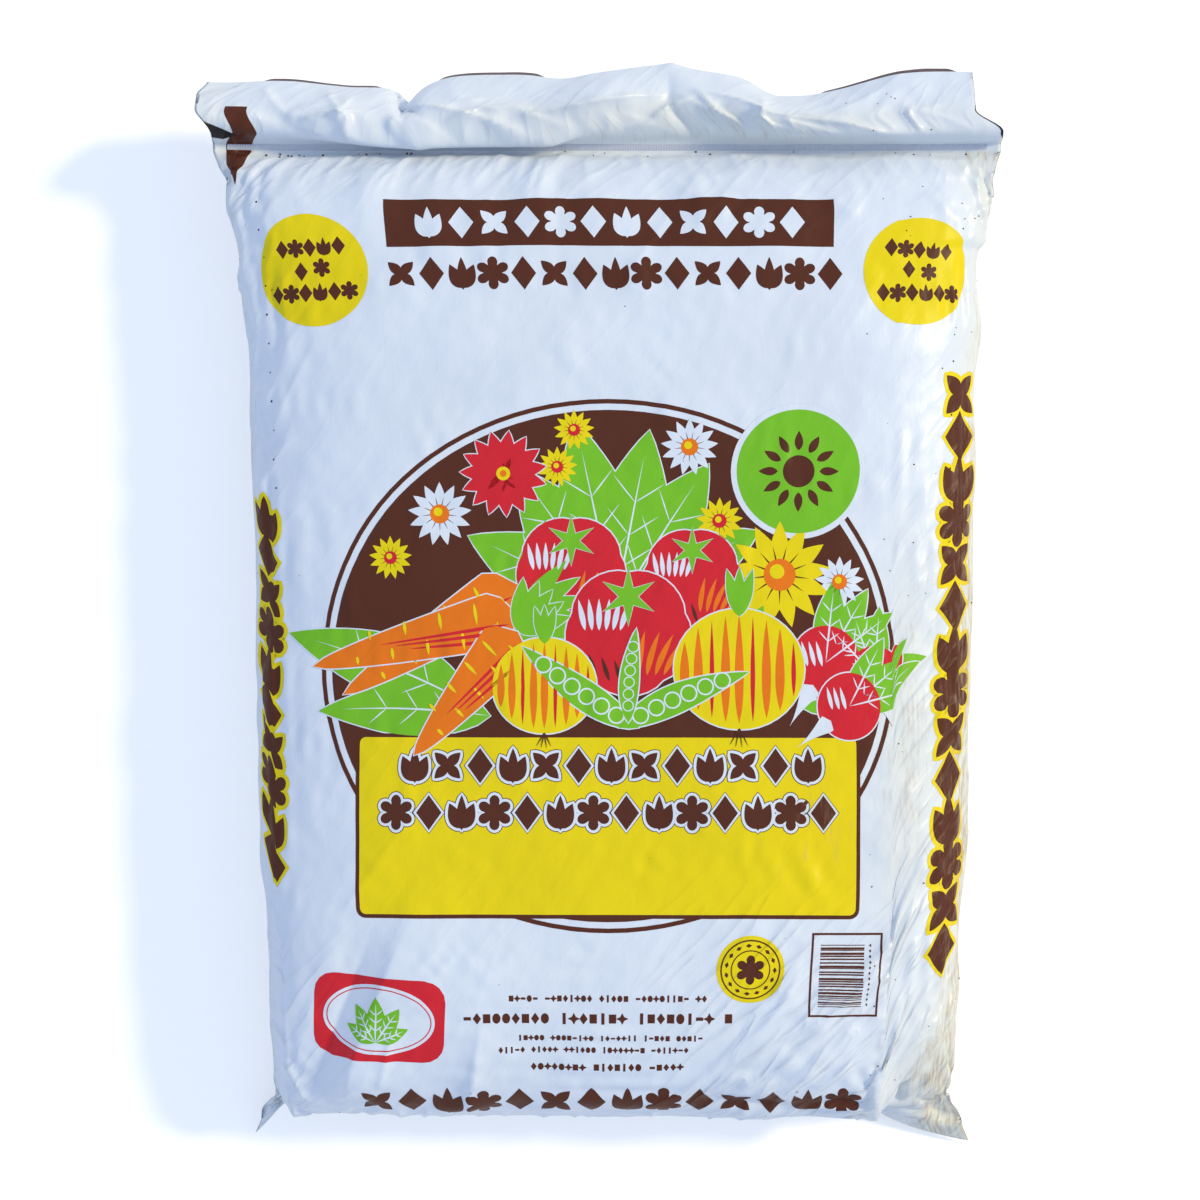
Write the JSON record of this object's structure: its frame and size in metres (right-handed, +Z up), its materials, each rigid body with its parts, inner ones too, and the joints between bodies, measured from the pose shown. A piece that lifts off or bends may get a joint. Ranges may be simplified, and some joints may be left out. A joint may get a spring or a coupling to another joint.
{
  "type": "bag of garden soil",
  "caption": "Filled pillow bag of printed plastic film, sealed at both ends, with a loose wavy header above its top seal and two ears at its foot, lying on its back.",
  "frame": {"origin": "middle of the overall box at the level of the floor that the bag lies on", "axes": "+X to the right across the bag, +Y along it from the foot to the header, +Z up from the floor to the printed face"},
  "size_m": [0.4994, 0.6676, 0.1106],
  "materials": {
    "film": "white polyethylene film with a soft sheen"
  },
  "bodies": {
    "root": {"soil_bag": "film"}
  },
  "joints": []
}
